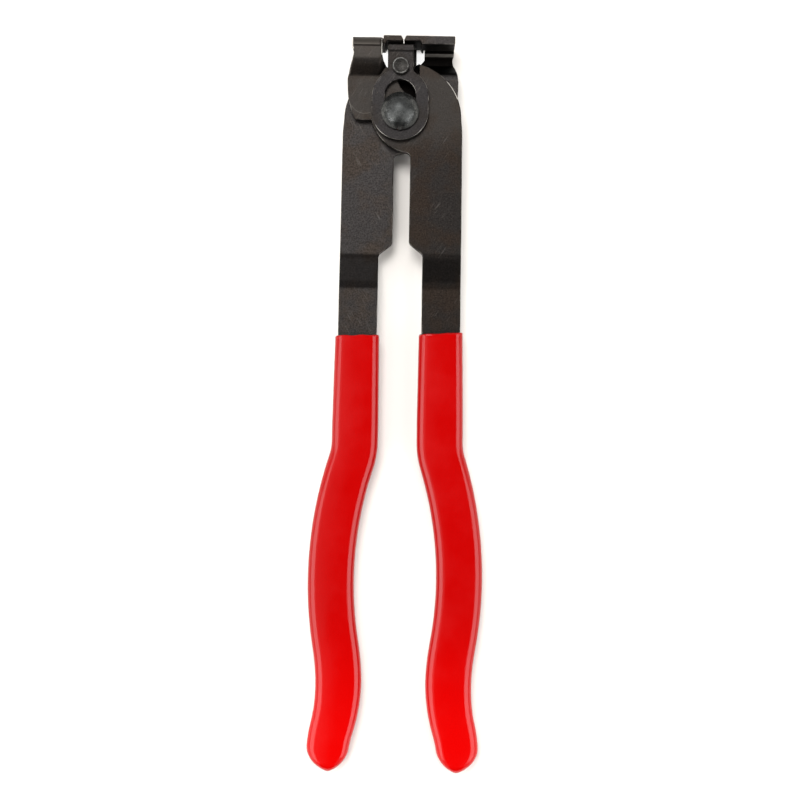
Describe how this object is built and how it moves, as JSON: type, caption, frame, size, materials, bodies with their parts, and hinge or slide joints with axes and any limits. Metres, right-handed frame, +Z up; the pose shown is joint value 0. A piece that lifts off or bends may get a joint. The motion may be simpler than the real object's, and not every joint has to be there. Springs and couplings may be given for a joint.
{
  "type": "ear clamp pliers",
  "caption": "Hand pliers with crossed flat levers, folded end jaws and a sliding presser plate that squeeze the ear of a hose clamp; dipped grips.",
  "frame": {"origin": "on the main rivet's axis, at the flat face of its peened tail, the lowest face of the tool", "axes": "+X to the right, +Y towards the jaw tips, +Z up out of the rivet's domed head"},
  "size_m": [0.0592, 0.2479, 0.018],
  "materials": {
    "black_oxide": "black-oxide pressed steel, satin, mottled brown, worn at the edges",
    "presser_oxide": "black-oxide pressed steel, satin, slightly cooler grey",
    "turned_oxide": "dark turned and peened steel, half gloss, fine circular scuffs",
    "red_vinyl": "glossy dipped red vinyl"
  },
  "bodies": {
    "pivot": {"pivot_rivet": "turned_oxide", "tail_washer": "turned_oxide"},
    "front": {"front_lever": "black_oxide", "right_grip": "red_vinyl"},
    "back": {"back_lever": "black_oxide", "left_grip": "red_vinyl"},
    "presser": {"front_presser_plate": "presser_oxide", "back_presser_plate": "presser_oxide", "presser_rivet": "turned_oxide", "guide_roller": "turned_oxide"}
  },
  "joints": [
    {"name": "front_lever_hinge", "type": "hinge", "parent": "pivot", "child": "front", "pos_m": [0, 0, 0.00815], "axis": [0, 0, 1], "range_deg": [0, 13]},
    {"name": "back_lever_hinge", "type": "hinge", "parent": "pivot", "child": "back", "pos_m": [0, 0, 0.00815], "axis": [0, 0, 1], "range_deg": [-13, 0]},
    {"name": "presser_slide", "type": "slide", "parent": "pivot", "child": "presser", "axis": [0, 1, 0], "range_m": [-0.0032, 0]}
  ],
  "couplings": [
    {"joint": "back_lever_hinge", "follows": "front_lever_hinge", "ratio": -1},
    {"joint": "presser_slide", "follows": "front_lever_hinge", "m_per_rad": -0.0141}
  ]
}
